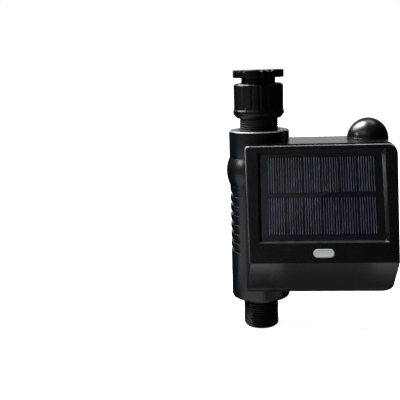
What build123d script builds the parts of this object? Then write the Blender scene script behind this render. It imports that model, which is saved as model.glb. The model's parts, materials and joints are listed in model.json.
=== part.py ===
from build123d import *
import math
import os

os.makedirs("parts", exist_ok=True)

# ---------------------------------------------------------------- driving dimensions, mm
# Frame: +Z up along the water pipe, X to the right along the front cover, -Y to the front.
# The origin is the centre of the inlet adapter's mouth, where the timer hangs from its tap.
ZB = -73.2  # centre of the ball valve bulge below the inlet mouth

# levels along the pipe, measured from the bulge centre
H_FLANGE_T, H_FLANGE_B = 73.2, 67.7
H_NUT_T, H_NUT_RIM_T, H_NUT_RIM_B, H_NUT_B = 63.8, 44.3, 41.5, 39.0
H_NECK_B, H_COLLAR_B = 30.2, 10.3
H_SLEEVE_T, H_SLEEVE_B = -10.3, -96.3
H_OUT_B = -120.0

R_FLANGE, R_NUT, R_NUT_RIM, R_NUT_FOOT = 18.3, 17.96, 18.55, 16.0
# notches between the flange's teeth and lugs, degrees from +X, the same in front and behind
NOTCH_DEG = (57.0, 69.3, 84.5, 126.5, 143.0, 158.0, -57.0, -69.3, -84.5, -126.5, -143.0, -158.0)
R_NECK, R_COLLAR, R_BULGE, R_SLEEVE = 13.96, 22.0, 24.3, 22.0
R_G34, R_G34_RELIEF = 13.22, 12.3  # 3/4 inch parallel pipe thread: major radius, relief
R_G12_MINOR = 9.32  # 1/2 inch parallel pipe thread: minor radius of the tap socket
R_WATER = 8.0  # water way

# ball valve
R_BALL, R_BALL_BORE, R_CHAMBER = 13.0, 7.5, 13.5
R_STEM, R_STEM_HOLE, R_BOSS = 4.0, 4.05, 9.0
X_BOSS_END = 29.5

# grip grooves on the sleeve
GROOVE_H = (-16.65, -23.65, -30.65, -37.65, -44.65, -51.65, -58.65)
GROOVE_D, GROOVE_HALF_DEG = 1.9, 46.0

# electronics housing, front view
XL, XR = -10.6, 94.6  # outer sides at the parting plane
H_TOP, H_BOTTOM = 22.0, -87.1
Y_BACK = 20.0
Y_PART_R, Y_PART_F = -25.5, -26.5  # rear shell's and front shell's mating faces
WALL = 2.0
R_CORNER, R_CORNER_L = 7.0, 3.0
R_RIM = 1.1  # rounding of the front shell's outer edges
STEP_TOP = 0.6  # of the front shell's top below the rear shell's
DRAFT = 4.8  # of the front shell's sides, degrees
TILT = 21.2  # lean-back of the solar face, degrees
Y_CREASE, H_CREASE = -58.6, -54.8  # lower edge of the solar face
Y_CHIN, H_CHIN = -22.0, -87.1  # lower end of the chin slope
XC = (XL + XR) / 2

# solar window, in the face's own frame: x from XC, u up the slope from the crease
WIN_X, WIN_U0, WIN_U1 = 43.5, 13.8, 78.5  # mouth half width, lower and upper edge
SUN_X, SUN_U0, SUN_U1 = 41.6, 15.5, 76.1  # panel half width, lower and upper edge
D_RECESS, T_PANEL, T_TUB = 2.5, 2.0, 1.5
CELL_X0, CELL_X1 = -37.1, 37.0
CELL_ROWS = ((19.6, 45.7), (48.6, 74.1))

# button
BTN_U, BTN_L, BTN_W, BTN_GAP = 6.76, 13.9, 5.64, 0.34
BTN_POST = 10.6

# dome
X_DOME, Y_DOME, R_DOME, T_DOME = 79.0, 3.0, 14.8, 1.6

# gear train, axes parallel to X and one below the other
MOD, PA, N_WHEEL, N_PIN = 0.6, 25.0, 36, 12
CD = MOD * (N_WHEEL + N_PIN) / 2
BACKLASH = 0.18
X_CASE, X_CASE_IN, X_COVER, X_COVER_END = 29.5, 31.2, 42.8, 44.4
CASE_Y, CASE_H0, CASE_H1 = 13.8, -50.4, 13.8

# screws: housing screws run from the back, x and height
HOUSING_SCREWS = ((50.5, 3.0), (88.4, 3.0), (27.2, -57.2), (88.4, -57.2))
BOARD_POSTS = ((57.0, -27.0), (76.0, -27.0), (59.5, 12.0), (76.0, -50.0))
EAR_SCREWS = ((24.6, -66.5), (24.6, -16.0))

# plugs on the main board, x of their centres and level
X_PLUG_BAT, X_PLUG_PANEL, X_PLUG_MOTOR, H_PLUG = 41.0, 55.5, 69.5, -53.5
R_LEAD = 0.5

# battery cell along X
X_CELL0, CELL_L, Y_CELL, H_CELL, R_CELL = 26.0, 65.0, 3.0, -73.9, 9.2

T = math.tan(math.radians(TILT))
S, C = math.sin(math.radians(TILT)), math.cos(math.radians(TILT))


def zl(h):
    """Height in the frame of a level measured from the bulge centre."""
    return ZB + h


def at_y(y):
    """Front-view plane at depth y: local x is X, local y is Z, normal to the front."""
    return Plane.XZ.offset(-y)


def at_x(x):
    """Side plane at x: local x is Y, local y is Z, normal to the right."""
    return Plane.YZ.offset(x)


FACE = Plane(origin=(XC, Y_CREASE, zl(H_CREASE)), x_dir=(1, 0, 0), z_dir=(0, -C, S))


chin_angle = math.atan2(H_CHIN - H_CREASE, Y_CHIN - Y_CREASE)
CHIN = Plane(origin=(XC, Y_CREASE, zl(H_CREASE)), x_dir=(1, 0, 0), z_dir=(0, math.sin(chin_angle), -math.cos(chin_angle)))


def lies_in(edge, plane, tol=0.05):
    """Whether both ends and the middle of an edge are in a plane."""
    return all(abs(plane.to_local_coords(edge @ t).Z) < tol for t in (0.0, 0.5, 1.0))


def done(builder, name):
    builder.part.label = name
    export_step(builder.part, f"parts/{name}.step")
    print(name, len(builder.part.solids()), round(builder.part.volume, 1))


def spot(r, deg, h):
    """A place round the pipe that faces outward, at a radius, an angle and a level."""
    return Location((r * math.cos(math.radians(deg)), r * math.sin(math.radians(deg)), zl(h)), (0, 0, deg))


def ring(r_in, r_out, h0, h1):
    """A plain ring about the pipe axis, between two levels."""
    with BuildPart() as made:
        with BuildSketch(Plane.XY.offset(zl(h0))):
            Circle(r_out)
            Circle(r_in, mode=Mode.SUBTRACT)
        extrude(amount=h1 - h0)
    return made.part


def torus_z(r_major, r_minor, h):
    with BuildPart() as made:
        with Locations((0, 0, zl(h))):
            Torus(r_major, r_minor)
    return made.part


def turned(points):
    """A body of revolution about Z from (radius, level) points."""
    with BuildPart() as made:
        with BuildSketch(Plane.XZ):
            with BuildLine():
                Polyline(*[(r, zl(h)) for r, h in points], close=True)
            make_face()
        revolve(axis=Axis.Z)
    return made.part


def rod_x(r, x0, x1, y=0.0, h=0.0, r_in=0.0):
    """A rod or tube along X."""
    with BuildPart() as made:
        with BuildSketch(at_x(x0)):
            with Locations((y, zl(h))):
                Circle(r)
                if r_in:
                    Circle(r_in, mode=Mode.SUBTRACT)
        extrude(amount=x1 - x0)
    return made.part


def rod_y(r, y0, y1, x, h, r_in=0.0):
    """A rod or tube along Y, from y0 to a larger y1."""
    with BuildPart() as made:
        with BuildSketch(at_y(y1)):
            with Locations((x, zl(h))):
                Circle(r)
                if r_in:
                    Circle(r_in, mode=Mode.SUBTRACT)
        extrude(amount=y1 - y0)
    return made.part


def block(x0, x1, y0, y1, h0, h1):
    with BuildPart() as made:
        with BuildSketch(Plane.XY.offset(zl(h0))):
            with Locations(((x0 + x1) / 2, (y0 + y1) / 2)):
                Rectangle(x1 - x0, y1 - y0)
        extrude(amount=h1 - h0)
    return made.part


def screw_y(x, h, y_seat, r_head, t_head, r_shank, length, toward=-1):
    """A cross-slot screw along Y. The head's underside is at y_seat and the shank runs toward -Y or +Y."""
    with BuildPart() as made:
        if toward < 0:
            add(rod_y(r_head, y_seat, y_seat + t_head, x, h))
            add(rod_y(r_shank, y_seat - length, y_seat, x, h))
            top = y_seat + t_head
            with BuildSketch(at_y(top)):
                with Locations((x, zl(h))):
                    Rectangle(r_head * 1.1, r_head * 0.28)
                    Rectangle(r_head * 0.28, r_head * 1.1)
            extrude(amount=t_head * 0.55, mode=Mode.SUBTRACT)
        else:
            add(rod_y(r_head, y_seat - t_head, y_seat, x, h))
            add(rod_y(r_shank, y_seat, y_seat + length, x, h))
            top = y_seat - t_head
            with BuildSketch(at_y(top)):
                with Locations((x, zl(h))):
                    Rectangle(r_head * 1.1, r_head * 0.28)
                    Rectangle(r_head * 0.28, r_head * 1.1)
            extrude(amount=-t_head * 0.55, mode=Mode.SUBTRACT)
    return made.part


def gear_points(n, phase_deg, add_k=0.9, ded_k=1.2):
    """Outline of an involute gear about (0, 0); a tooth is centred at phase_deg."""
    rp = MOD * n / 2
    ra, rf = rp + add_k * MOD, rp - ded_k * MOD
    pa = math.radians(PA)
    rb = rp * math.cos(pa)

    def inv(r):
        if r <= rb:
            return 0.0
        a = math.acos(rb / r)
        return math.tan(a) - a

    half_pitch = math.pi / (2 * n) - BACKLASH / 4 / rp  # half tooth angle at the pitch circle
    inv_p = math.tan(pa) - pa
    r0 = max(rf, rb)
    radii = [r0 + (ra - r0) * k / 4 for k in range(5)]
    flank = [(r, half_pitch + inv_p - inv(r)) for r in radii]
    if rf < rb:
        flank = [(rf, flank[0][1])] + flank
    points = []
    for k in range(n):
        mid = math.radians(phase_deg) + 2 * math.pi * k / n
        for r, a in flank:
            points.append((r * math.cos(mid - a), r * math.sin(mid - a)))
        for r, a in reversed(flank):
            points.append((r * math.cos(mid + a), r * math.sin(mid + a)))
    return points


def gear(n, phase_deg, x0, x1, h):
    """A spur gear about an axis along X at level h."""
    with BuildPart() as made:
        with BuildSketch(at_x(x0)):
            with BuildLine():
                Polyline(*[(u, zl(h) + v) for u, v in gear_points(n, phase_deg)], close=True)
            make_face()
        extrude(amount=x1 - x0)
    return made.part


# ================================================================ inlet coupling
with BuildPart() as inlet_adapter:
    # flange, relief neck and male thread that screws into the nut; socket for the tap above
    add(turned([
        (R_G12_MINOR, H_FLANGE_T), (R_FLANGE - 0.5, H_FLANGE_T), (R_FLANGE, H_FLANGE_T - 0.5),
        (R_FLANGE, H_FLANGE_B + 0.5), (R_FLANGE - 0.5, H_FLANGE_B), (R_G34_RELIEF, H_FLANGE_B),
        (R_G34_RELIEF, 63.4), (13.2, 62.6), (13.2, 51.0), (12.4, 50.0),
        (6.5, 50.0), (6.5, 57.0), (9.8, 57.0), (9.8, 59.0), (R_G12_MINOR, 59.0),
    ]))
    # finger scallops round the rim
    with Locations(*[spot(R_FLANGE + 1.5, deg, H_FLANGE_B - 1) for deg in NOTCH_DEG]):
        Cylinder(2.1, 8, align=(Align.CENTER, Align.CENTER, Align.MIN), mode=Mode.SUBTRACT)
    # castellated upper face
    with Locations(*[spot(15.6, deg, H_FLANGE_T - 0.9) for deg in NOTCH_DEG]):
        Box(6.4, 2.4, 2, align=(Align.CENTER, Align.CENTER, Align.MIN), mode=Mode.SUBTRACT)
done(inlet_adapter, "inlet_adapter")

with BuildPart() as tap_washer:
    add(ring(6.5, 9.7, 57.0, 59.0))
done(tap_washer, "tap_washer")

with BuildPart() as coupling_nut:
    # ribbed swivel nut: threaded bore above, inner lip below that hangs on the neck's clip
    add(turned([
        (13.25, H_NUT_T), (16.6, H_NUT_T), (R_NUT, H_NUT_T - 1.3), (R_NUT, H_NUT_RIM_T + 0.6),
        (R_NUT_RIM, H_NUT_RIM_T), (R_NUT_RIM, H_NUT_RIM_B + 0.5), (R_NUT_RIM - 0.5, H_NUT_RIM_B),
        (R_NUT_FOOT + 0.6, H_NUT_B + 0.7), (R_NUT_FOOT, H_NUT_B), (11.66, H_NUT_B), (11.66, 43.0), (13.25, 43.0),
    ]))
    with PolarLocations(R_NUT + 0.15, 12, start_angle=7.5):
        with Locations((0, 0, zl(H_NUT_RIM_T + 1.2))):
            Box(1.7, 4.3, 20, align=(Align.CENTER, Align.CENTER, Align.MIN), mode=Mode.SUBTRACT)
done(coupling_nut, "coupling_nut")

with BuildPart() as swivel_washer:
    add(ring(8.2, 13.0, 48.0, 50.0))
done(swivel_washer, "swivel_washer")

# ================================================================ water way
with BuildPart() as upper_body:
    # collar with the ringed inlet neck above and the ball chamber's plug below
    outline = [(R_WATER, 47.0), (9.6, 47.0), (9.6, 48.0), (11.2, 48.0), (11.6, 47.6),
               (11.6, 44.9), (10.7, 44.9), (10.7, 43.1), (11.6, 43.1), (11.6, 38.8)]
    h = 38.8
    outline.append((R_NECK - 0.35, h))
    for k in range(5):  # fine rings of the neck
        outline += [(R_NECK, h - 0.25), (R_NECK, h - 0.95), (R_NECK - 0.4, h - 1.2), (R_NECK - 0.4, h - 1.5)]
        h -= 1.6
    outline += [(R_NECK, H_NECK_B + 0.3), (R_NECK, H_NECK_B)]
    outline += [(R_COLLAR - 0.9, H_NECK_B), (R_COLLAR - 0.25, H_NECK_B - 0.25), (R_COLLAR, H_NECK_B - 0.9),
                (R_COLLAR, H_COLLAR_B), (16.9, H_COLLAR_B), (16.9, 8.6), (15.4, 8.6), (15.4, 6.8), (16.9, 6.8),
                (16.9, 4.4), (R_CHAMBER, 4.4), (R_CHAMBER, 8.8), (12.5, 8.8), (12.5, 12.0), (R_WATER, 12.0)]
    add(turned(outline))
done(upper_body, "upper_body")

with BuildPart() as body_o_ring:
    add(torus_z(16.19, 0.78, 7.7))
done(body_o_ring, "body_o_ring")

with BuildPart() as retaining_ring:
    # open clip in the neck's groove that carries the nut's lip
    add(ring(10.75, 13.0, 43.2, 44.8))
    with Locations((0, 11.9, zl(44.0))):
        Box(9.0, 5.0, 3.0, mode=Mode.SUBTRACT)
done(retaining_ring, "retaining_ring")

with BuildPart() as filter_screen:
    # thimble strainer hanging from its rim in the inlet neck
    add(turned([(6.4, 48.0), (9.5, 48.0), (9.5, 47.1), (7.2, 47.1), (7.2, 33.0), (0.0, 33.0), (0.0, 33.8), (6.4, 33.8)]))
    for level in (35.2, 38.4, 41.6):
        with PolarLocations(6.8, 10):
            with Locations((0, 0, zl(level))):
                Box(3.0, 2.2, 2.4, align=(Align.CENTER, Align.CENTER, Align.MIN), mode=Mode.SUBTRACT)
    with BuildSketch(Plane.XY.offset(zl(32.0))):
        with PolarLocations(4.2, 8):
            Circle(0.9)
        Circle(0.9)
    extrude(amount=4, mode=Mode.SUBTRACT)
done(filter_screen, "filter_screen")

with BuildPart() as valve_body:
    # bulge round the ball, down pipe to the outlet, and the stem's boss to the right
    with Locations((0, 0, zl(0))):
        Sphere(R_BULGE)
    with Locations((0, 0, zl(H_COLLAR_B))):
        Cylinder(30, 20, align=(Align.CENTER, Align.CENTER, Align.MIN), mode=Mode.SUBTRACT)
    with Locations((0, 0, zl(H_SLEEVE_T))):
        Cylinder(30, 20, align=(Align.CENTER, Align.CENTER, Align.MAX), mode=Mode.SUBTRACT)
    add(ring(0.001, 12.0, -91.0, H_SLEEVE_T))
    add(ring(0.001, 14.5, -15.0, H_SLEEVE_T))
    add(rod_x(R_BOSS, 17.0, X_BOSS_END))
    # ball chamber, seat pocket, water way
    with Locations((0, 0, zl(4.3))):
        Cylinder(17.0, 8, align=(Align.CENTER, Align.CENTER, Align.MIN), mode=Mode.SUBTRACT)
    with Locations((0, 0, zl(-8.8))):
        Cylinder(R_CHAMBER, 20, align=(Align.CENTER, Align.CENTER, Align.MIN), mode=Mode.SUBTRACT)
    with Locations((0, 0, zl(-12.0))):
        Cylinder(12.5, 5, align=(Align.CENTER, Align.CENTER, Align.MIN), mode=Mode.SUBTRACT)
    with Locations((0, 0, zl(-92.0))):
        Cylinder(R_WATER, 85, align=(Align.CENTER, Align.CENTER, Align.MIN), mode=Mode.SUBTRACT)
    # seal groove round the down pipe's end
    add(ring(10.6, 12.5, -88.9, -87.2), mode=Mode.SUBTRACT)
    # stem hole and gland pocket
    add(rod_x(R_STEM_HOLE, 12.0, 31.0), mode=Mode.SUBTRACT)
    add(rod_x(7.0, 25.5, 31.0), mode=Mode.SUBTRACT)
done(valve_body, "valve_body")

with BuildPart() as ball_seats:
    # a soft seat above and one below the ball
    add(ring(7.7, 12.45, 8.85, 11.95))
    add(ring(7.7, 12.45, -11.95, -8.85))
    with Locations((0, 0, zl(0))):
        Sphere(R_BALL + 0.05, mode=Mode.SUBTRACT)
done(ball_seats, "ball_seats")

with BuildPart() as valve_ball:
    # shown closed: the bore lies across the pipe
    with Locations((0, 0, zl(0))):
        Sphere(R_BALL)
    add(rod_y(R_BALL_BORE, -14, 14, 0, 0), mode=Mode.SUBTRACT)
    add(block(10.0, 14.0, -7.0, 7.0, -1.6, 1.6), mode=Mode.SUBTRACT)
done(valve_ball, "valve_ball")

with BuildPart() as valve_stem:
    add(rod_x(R_STEM, 12.9, 33.0))
    add(rod_x(3.0, 33.0, 35.1))
    add(block(10.05, 13.0, -3.2, 3.2, -1.55, 1.55))
    add(block(33.0, 36.0, -3.2, 3.2, 2.2, 3.2), mode=Mode.SUBTRACT)
    add(block(33.0, 36.0, -3.2, 3.2, -3.2, -2.2), mode=Mode.SUBTRACT)
    add(rod_x(4.5, 17.6, 19.2, r_in=2.7), mode=Mode.SUBTRACT)
    add(rod_x(4.5, 21.2, 22.8, r_in=2.7), mode=Mode.SUBTRACT)
done(valve_stem, "valve_stem")

with BuildPart() as stem_o_rings:
    with Locations(Location((18.4, 0, zl(0)), (0, 90, 0)), Location((22.0, 0, zl(0)), (0, 90, 0))):
        Torus(3.37, 0.66)
done(stem_o_rings, "stem_o_rings")

with BuildPart() as gland_bush:
    add(rod_x(6.95, 25.5, X_BOSS_END, r_in=R_STEM_HOLE))
done(gland_bush, "gland_bush")

with BuildPart() as outlet_spigot:
    # threaded hose spigot with the flange that holds it inside the sleeve's foot
    add(turned([
        (R_WATER, -91.0), (12.03, -91.0), (12.03, -84.6), (16.5, -84.6), (16.5, -93.2), (R_G34 - 0.3, -93.2),
        (R_G34 - 0.3, H_SLEEVE_B), (R_G34, H_SLEEVE_B),
        (R_G34, H_OUT_B + 1.5), (R_G34 - 1.5, H_OUT_B), (R_WATER, H_OUT_B),
    ]))
done(outlet_spigot, "outlet_spigot")

with BuildPart() as outlet_o_ring:
    add(torus_z(11.31, 0.68, -88.05))
done(outlet_o_ring, "outlet_o_ring")

with BuildPart() as sleeve_ears:
    for x, level in EAR_SCREWS:
        add(block(14.0, 28.4, 13.9, 17.9, level - 4.0, level + 4.0))
    with Locations((0, 0, zl(0))):
        Cylinder(19.6, 200, mode=Mode.SUBTRACT)

with BuildPart() as grip_sleeve:
    # outer sleeve of the down pipe, with the ringed grip to the left and a smooth foot
    add(turned([
        (19.4, H_SLEEVE_T - 0.0), (R_SLEEVE, H_SLEEVE_T - 0.0), (R_SLEEVE, H_SLEEVE_B + 1.6), (R_SLEEVE - 0.5, H_SLEEVE_B + 0.5),
        (R_SLEEVE - 1.6, H_SLEEVE_B), (R_G34 + 0.1, H_SLEEVE_B), (R_G34 + 0.1, -93.3), (19.4, -93.3),
    ]))
    a = math.radians(180 - GROOVE_HALF_DEG)
    with BuildSketch(Plane(origin=(0, 0, zl(0)), x_dir=(math.cos(a), math.sin(a), 0), z_dir=(math.sin(a), -math.cos(a), 0))):
        for level in GROOVE_H:
            with BuildLine():
                Polyline((R_SLEEVE + 0.3, level + 4.6), (R_SLEEVE - 0.35, level + 1.3), (R_SLEEVE - GROOVE_D + 0.1, level + 0.3),
                         (R_SLEEVE - GROOVE_D, level - 0.9), (R_SLEEVE + 0.5, level - 1.35), close=True)
            make_face()
    revolve(axis=Axis.Z, revolution_arc=2 * GROOVE_HALF_DEG, mode=Mode.SUBTRACT)
    # fixing ears inside the housing
    add(sleeve_ears.part)
    for x, level in EAR_SCREWS:
        add(rod_y(1.5, 12.0, 18.5, x, level), mode=Mode.SUBTRACT)
done(grip_sleeve, "grip_sleeve")


# ================================================================ housing shells
def side_profile(inset, drop=0.0):
    """Side view of the whole housing as (y, level) points, its walls moved inward by inset."""
    # face line: through the crease, direction (S, C); chin line from the crease to the chin's end
    chin = math.atan2(H_CHIN - H_CREASE, Y_CHIN - Y_CREASE)
    cd = (math.cos(chin), math.sin(chin))
    cn = (-cd[1], cd[0])  # inward normal of the chin, up and back
    fp = (Y_CREASE + inset * C, H_CREASE - inset * S)  # a point on the inset face line
    cp = (Y_CREASE + inset * cn[0], H_CREASE + inset * cn[1])
    top, bottom, back = H_TOP - inset - drop, H_BOTTOM + inset, Y_BACK - inset

    def face_y(h):
        return fp[0] + (h - fp[1]) * S / C

    def chin_y(h):
        return cp[0] + (h - cp[1]) * cd[0] / cd[1]

    # crease: face_y(h) == chin_y(h)
    k1, k2 = S / C, cd[0] / cd[1]
    hc = (cp[0] - cp[1] * k2 - fp[0] + fp[1] * k1) / (k1 - k2)
    return [(back, top), (face_y(top), top), (face_y(hc), hc), (chin_y(bottom), bottom), (back, bottom)]


def prism_yz(points, x0, x1):
    with BuildPart() as made:
        with BuildSketch(at_x(x0)):
            with BuildLine():
                Polyline(*[(y, zl(h)) for y, h in points], close=True)
            make_face()
        extrude(amount=x1 - x0)
    return made.part


def outline_xz(y, inset, amount, taper=0.0, drop=0.0):
    """Front outline with its corner radii, pushed from depth y by amount (to the front if positive)."""
    with BuildPart() as made:
        with BuildSketch(at_y(y)) as sk:
            x0, x1 = XL + inset, XR - inset
            h0, h1 = zl(H_BOTTOM + inset), zl(H_TOP - inset - drop)
            with BuildLine():
                Polyline((x0, h0), (x1, h0), (x1, h1), (x0, h1), close=True)
            make_face()
            right = sk.vertices().sort_by(Axis.X)[-2:]
            fillet(right, R_CORNER - inset)
            left = sk.vertices().sort_by(Axis.X)[:2]
            fillet(left, max(R_CORNER_L - inset, 0.8))
        extrude(amount=amount, taper=taper)
    return made.part


# front shell's outer form: tilted solar face, chin and drafted sides
with BuildPart() as front_outer:
    add(prism_yz(side_profile(0.0, STEP_TOP), XL - 5, XR + 5))
    add(outline_xz(Y_PART_F, 0.0, 40.0, taper=DRAFT, drop=STEP_TOP), mode=Mode.INTERSECT)
    # round the rim of the face, the crease and the chin's sides
    rim = [e for e in front_outer.edges() if lies_in(e, FACE) or lies_in(e, CHIN)]
    rim = [e for e in rim if e.center().Y < Y_PART_F - 0.1]
    fillet(rim, R_RIM)

with BuildPart() as front_inner:
    add(prism_yz(side_profile(WALL, STEP_TOP), XL - 5, XR + 5))
    add(outline_xz(Y_PART_F + 5.0, WALL, 45.0, taper=DRAFT, drop=STEP_TOP), mode=Mode.INTERSECT)

with BuildPart() as tub:
    # block that stays behind the solar window
    with BuildSketch(FACE.offset(2.0)):
        with Locations((0, (WIN_U0 + WIN_U1) / 2)):
            Rectangle(2 * WIN_X + 3.0, WIN_U1 - WIN_U0 + 3.0)
    extrude(amount=-(2.0 + D_RECESS + T_PANEL + T_TUB))

with BuildPart() as front_hollow:
    add(front_inner.part)
    add(tub.part, mode=Mode.SUBTRACT)

with BuildPart() as front_bosses:
    for x, level in HOUSING_SCREWS:
        add(rod_y(3.2, -54.0, Y_PART_F, x, level))
    with BuildSketch(FACE.offset(-1.0)):
        with Locations((-BTN_POST, BTN_U), (BTN_POST, BTN_U)):
            Circle(2.1)
    extrude(amount=-7.5)
    add(front_outer.part, mode=Mode.INTERSECT)

with BuildPart() as front_cover:
    add(front_outer.part)
    add(front_hollow.part, mode=Mode.SUBTRACT)
    # bosses for the housing screws and posts for the button board
    add(front_bosses.part)
    # window: drafted mouth and the panel's pocket
    with BuildSketch(FACE):
        with Locations((0, (WIN_U0 + WIN_U1) / 2)):
            Rectangle(2 * WIN_X, WIN_U1 - WIN_U0)
    with BuildSketch(FACE.offset(-D_RECESS)):
        with Locations((0, (SUN_U0 + SUN_U1) / 2)):
            Rectangle(2 * SUN_X, SUN_U1 - SUN_U0)
    loft(mode=Mode.SUBTRACT)
    with BuildSketch(FACE.offset(-D_RECESS)):
        with Locations((0, (SUN_U0 + SUN_U1) / 2)):
            Rectangle(2 * SUN_X, SUN_U1 - SUN_U0)
    extrude(amount=-T_PANEL, mode=Mode.SUBTRACT)
    # lead hole in the tub's floor
    with BuildSketch(FACE.offset(-D_RECESS)):
        with Locations((X_PLUG_PANEL - XC, 30.0)):
            Circle(2.5)
    extrude(amount=-6, mode=Mode.SUBTRACT)
    # button slot
    with BuildSketch(FACE.offset(1.0)):
        with Locations((0, BTN_U)):
            SlotOverall(BTN_L + 2 * BTN_GAP, BTN_W + 2 * BTN_GAP)
    extrude(amount=-6, mode=Mode.SUBTRACT)
    # pilot holes
    for x, level in HOUSING_SCREWS:
        depth = 4.2 if level > 0 else 9.0
        add(rod_y(1.5, Y_PART_F - depth, Y_PART_F + 1, x, level), mode=Mode.SUBTRACT)
    with BuildSketch(FACE.offset(-9.0)):
        with Locations((-BTN_POST, BTN_U), (BTN_POST, BTN_U)):
            Circle(1.0)
    extrude(amount=5.5, mode=Mode.SUBTRACT)
done(front_cover, "front_cover")

with BuildPart() as rear_hollow:
    add(prism_yz(side_profile(WALL), XL - 5, XR + 5))
    add(outline_xz(Y_PART_R - 1.0, WALL, -(Y_BACK - Y_PART_R + 1 - WALL)), mode=Mode.INTERSECT)
    with Locations((X_DOME, Y_DOME, zl(H_TOP))):
        Cylinder(15.0, 10.9, align=(Align.CENTER, Align.CENTER, Align.MAX), mode=Mode.SUBTRACT)

with BuildPart() as rear_housing:
    add(prism_yz(side_profile(0.0), XL - 5, XR + 5))
    add(outline_xz(Y_PART_R, 0.0, -(Y_BACK - Y_PART_R)), mode=Mode.INTERSECT)
    back_rim = rear_housing.faces().sort_by(Axis.Y)[-1].edges()
    fillet(back_rim, 2.0)
    # pedestal of the dome, which carries it past the rounded corner
    with Locations((X_DOME, Y_DOME, zl(H_TOP))):
        Cylinder(15.0, 11, align=(Align.CENTER, Align.CENTER, Align.MAX))
    add(rear_hollow.part, mode=Mode.SUBTRACT)
    with Locations((X_DOME, Y_DOME, zl(H_TOP + 1))):
        Cylinder(13.05, 15, align=(Align.CENTER, Align.CENTER, Align.MAX), mode=Mode.SUBTRACT)
    # screw bosses, board posts and battery ribs
    for x, level in HOUSING_SCREWS:
        add(rod_y(4.6, Y_PART_R, Y_BACK - 1.0, x, level))
    for x, level in BOARD_POSTS:
        add(rod_y(2.6, -20.0, Y_BACK - 1.0, x, level))
    for x in (40.0, 76.0):
        add(block(x - 1.5, x + 1.5, Y_CELL + 9.95, Y_BACK - 1.0, -80.0, -68.0))
    # passage of the pipe at the left end
    with Locations((0, 0, zl(0))):
        Cylinder(R_SLEEVE + 0.25, 260, mode=Mode.SUBTRACT)
        Sphere(R_BULGE + 0.3, mode=Mode.SUBTRACT)
    add(block(-30.0, 10.0, -4.0, 30.0, -100.0, 40.0), mode=Mode.SUBTRACT)
    # screw wells and holes
    for x, level in HOUSING_SCREWS:
        add(rod_y(3.2, -20.0, Y_BACK + 1.0, x, level), mode=Mode.SUBTRACT)
        add(rod_y(1.65, Y_PART_R - 1.0, -19.0, x, level), mode=Mode.SUBTRACT)
    for x, level in BOARD_POSTS:
        add(rod_y(1.25, -21.0, -11.0, x, level), mode=Mode.SUBTRACT)
    for x, level in EAR_SCREWS:
        add(rod_y(1.6, 17.0, Y_BACK + 1.0, x, level), mode=Mode.SUBTRACT)
done(rear_housing, "rear_housing")

with BuildPart() as housing_gasket:
    with BuildSketch(at_y(Y_PART_R)) as sk:
        gx0, gx1, gh0, gh1 = XL + 0.7, XR - 0.7, -82.2, H_TOP - STEP_TOP - 0.6
        with BuildLine():
            Polyline((gx0, zl(gh0)), (gx1, zl(gh0)), (gx1, zl(gh1)), (gx0, zl(gh1)), close=True)
        make_face()
        fillet(sk.vertices().sort_by(Axis.X)[-2:], R_CORNER - 0.7)
        fillet(sk.vertices().sort_by(Axis.X)[:2], R_CORNER_L - 0.7)
    extrude(amount=Y_PART_R - Y_PART_F)
    with BuildSketch(at_y(Y_PART_R)) as sk:
        with BuildLine():
            Polyline((gx0 + 1.2, zl(gh0 + 1.2)), (gx1 - 1.2, zl(gh0 + 1.2)), (gx1 - 1.2, zl(gh1 - 1.2)), (gx0 + 1.2, zl(gh1 - 1.2)), close=True)
        make_face()
        fillet(sk.vertices().sort_by(Axis.X)[-2:], R_CORNER - 1.9)
        fillet(sk.vertices().sort_by(Axis.X)[:2], R_CORNER_L - 1.9)
    extrude(amount=Y_PART_R - Y_PART_F, mode=Mode.SUBTRACT)
done(housing_gasket, "housing_gasket")

with BuildPart() as housing_screws:
    for x, level in HOUSING_SCREWS:
        add(screw_y(x, level, -20.0, 2.8, 2.0, 1.5, 10.4 if level > 0 else 14.0))
done(housing_screws, "housing_screws")

with BuildPart() as sleeve_screws:
    for x, level in EAR_SCREWS:
        add(screw_y(x, level, Y_BACK, 2.8, 1.8, 1.5, 6.2))
done(sleeve_screws, "sleeve_screws")

# ================================================================ solar panel
with BuildPart() as panel_base:
    with BuildSketch(FACE.offset(-D_RECESS - T_PANEL)):
        with Locations((0, (SUN_U0 + SUN_U1) / 2)):
            Rectangle(2 * SUN_X - 0.1, SUN_U1 - SUN_U0 - 0.1)
    extrude(amount=1.2)
done(panel_base, "panel_base")

with BuildPart() as solar_cells:
    with BuildSketch(FACE.offset(-D_RECESS - T_PANEL + 1.2)):
        for u0, u1 in CELL_ROWS:
            with Locations(((CELL_X0 + CELL_X1) / 2, (u0 + u1) / 2)):
                Rectangle(CELL_X1 - CELL_X0, u1 - u0)
    extrude(amount=0.3)
done(solar_cells, "solar_cells")

with BuildPart() as panel_cover:
    with BuildSketch(FACE.offset(-D_RECESS - T_PANEL + 1.2)):
        with Locations((0, (SUN_U0 + SUN_U1) / 2)):
            Rectangle(2 * SUN_X - 0.1, SUN_U1 - SUN_U0 - 0.1)
    extrude(amount=0.8)
    add(solar_cells.part, mode=Mode.SUBTRACT)
done(panel_cover, "panel_cover")

# ================================================================ button
with BuildPart() as button_cap:
    with BuildSketch(FACE.offset(-2.06)):
        with Locations((0, BTN_U)):
            SlotOverall(BTN_L, BTN_W)
    extrude(amount=2.06 + 0.35)
    top_edges = [e for e in button_cap.edges() if abs(FACE.to_local_coords(e.center()).Z - 0.35) < 0.02]
    fillet(top_edges, 0.35)
    with BuildSketch(FACE.offset(-3.06)):
        with Locations((0, BTN_U)):
            SlotOverall(BTN_L + 2.6, BTN_W + 2.4)
    extrude(amount=1.0)
    with BuildSketch(FACE.offset(-4.0)):
        with Locations((0, BTN_U)):
            Circle(1.6)
    extrude(amount=1.0)
done(button_cap, "button_cap")

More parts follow.
